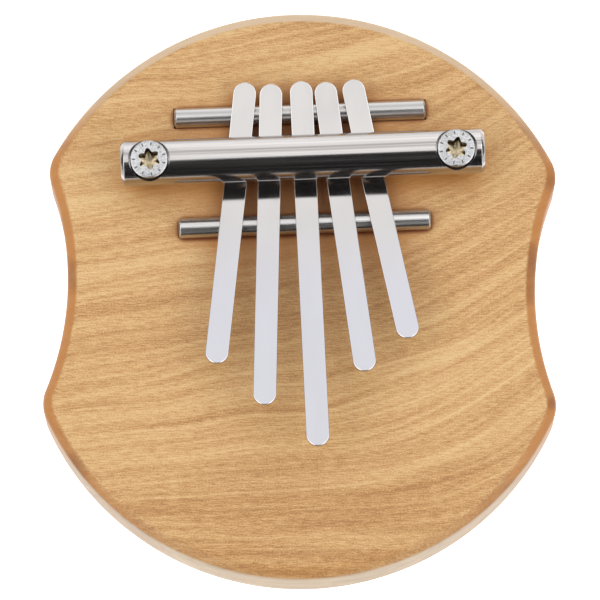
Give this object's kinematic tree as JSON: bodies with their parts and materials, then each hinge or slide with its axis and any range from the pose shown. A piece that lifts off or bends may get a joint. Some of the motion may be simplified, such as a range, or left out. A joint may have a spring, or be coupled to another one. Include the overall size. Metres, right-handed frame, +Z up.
{
  "type": "mbira",
  "caption": "Thumb piano: flat steel tines clamped across two bridge rods by a round bar on a solid wooden board with finger waists.",
  "frame": {"origin": "centre of the board's outline box, on its flat underside", "axes": "+Z up out of the playing face, +Y towards the clamped head end, +X to the right when the tines point down the page"},
  "size_m": [0.1138, 0.128, 0.035],
  "materials": {
    "soundboard_wood": "sanded, thin clear satin coat, fine horizontal grain",
    "rod_steel": "turned and polished round stock",
    "bar_steel": "brushed along its length, chamfered ends",
    "screw_steel": "matte stainless heads with six-lobed sockets",
    "insert_brass": "turned",
    "tine_steel": "bright polished spring steel with rounded edges"
  },
  "bodies": {
    "board": {"soundboard": "soundboard_wood", "rear_bridge_rod": "rod_steel", "front_bridge_rod": "rod_steel", "threaded_insert_left": "insert_brass", "threaded_insert_right": "insert_brass"},
    "clamp": {"clamp_bar": "bar_steel"},
    "screw_left": {"clamp_screw_left": "screw_steel"},
    "screw_right": {"clamp_screw_right": "screw_steel"},
    "tine_1": {"tine_1_root": "tine_steel"},
    "tine_1_tip": {"tine_1_tongue": "tine_steel"},
    "tine_2": {"tine_2_root": "tine_steel"},
    "tine_2_tip": {"tine_2_tongue": "tine_steel"},
    "tine_3": {"tine_3_root": "tine_steel"},
    "tine_3_tip": {"tine_3_tongue": "tine_steel"},
    "tine_4": {"tine_4_root": "tine_steel"},
    "tine_4_tip": {"tine_4_tongue": "tine_steel"},
    "tine_5": {"tine_5_root": "tine_steel"},
    "tine_5_tip": {"tine_5_tongue": "tine_steel"}
  },
  "joints": [
    {"name": "clamp_bar_lift", "type": "slide", "parent": "board", "child": "clamp", "axis": [0, 0, 1], "range_m": [0, 0.0008]},
    {"name": "screw_left_turn", "type": "hinge", "parent": "clamp", "child": "screw_left", "pos_m": [-0.03386, 0.02747, 0.0282], "axis": [0, 0, 1], "range_deg": [0, 360]},
    {"name": "screw_right_turn", "type": "hinge", "parent": "clamp", "child": "screw_right", "pos_m": [0.03406, 0.03073, 0.0282], "axis": [0, 0, 1], "range_deg": [0, 360]},
    {"name": "tine_1_tune", "type": "slide", "parent": "board", "child": "tine_1", "axis": [-0.0889, -0.996, 0], "range_m": [-0.001, 0.001]},
    {"name": "tine_1_pluck", "type": "hinge", "parent": "tine_1", "child": "tine_1_tip", "pos_m": [-0.01561, 0.01463, 0.02435], "axis": [0.996, -0.0889, 0], "range_deg": [-3, 5], "stiffness_Nm_per_rad": 5.67},
    {"name": "tine_2_tune", "type": "slide", "parent": "board", "child": "tine_2", "axis": [-0.0078, -1, 0], "range_m": [-0.001, 0.001]},
    {"name": "tine_2_pluck", "type": "hinge", "parent": "tine_2", "child": "tine_2_tip", "pos_m": [-0.00735, 0.01503, 0.02435], "axis": [1, -0.0078, 0], "range_deg": [-3, 5], "stiffness_Nm_per_rad": 4.38},
    {"name": "tine_3_tune", "type": "slide", "parent": "board", "child": "tine_3", "axis": [0.0567, -0.9984, 0], "range_m": [-0.001, 0.001]},
    {"name": "tine_3_pluck", "type": "hinge", "parent": "tine_3", "child": "tine_3_tip", "pos_m": [0.00128, 0.01544, 0.02435], "axis": [0.9984, 0.0567, 0], "range_deg": [-3, 5], "stiffness_Nm_per_rad": 3.55},
    {"name": "tine_4_tune", "type": "slide", "parent": "board", "child": "tine_4", "axis": [0.1461, -0.9893, 0], "range_m": [-0.001, 0.001]},
    {"name": "tine_4_pluck", "type": "hinge", "parent": "tine_4", "child": "tine_4_tip", "pos_m": [0.00935, 0.01583, 0.02435], "axis": [0.9893, 0.1461, 0], "range_deg": [-3, 5], "stiffness_Nm_per_rad": 5.21},
    {"name": "tine_5_tune", "type": "slide", "parent": "board", "child": "tine_5", "axis": [0.2199, -0.9755, 0], "range_m": [-0.001, 0.001]},
    {"name": "tine_5_pluck", "type": "hinge", "parent": "tine_5", "child": "tine_5_tip", "pos_m": [0.01784, 0.01624, 0.02435], "axis": [0.9755, 0.2199, 0], "range_deg": [-3, 5], "stiffness_Nm_per_rad": 6.49}
  ],
  "couplings": [
    {"joint": "screw_left_turn", "follows": "clamp_bar_lift", "rad_per_m": 7853.9},
    {"joint": "screw_right_turn", "follows": "clamp_bar_lift", "rad_per_m": 7853.9}
  ]
}
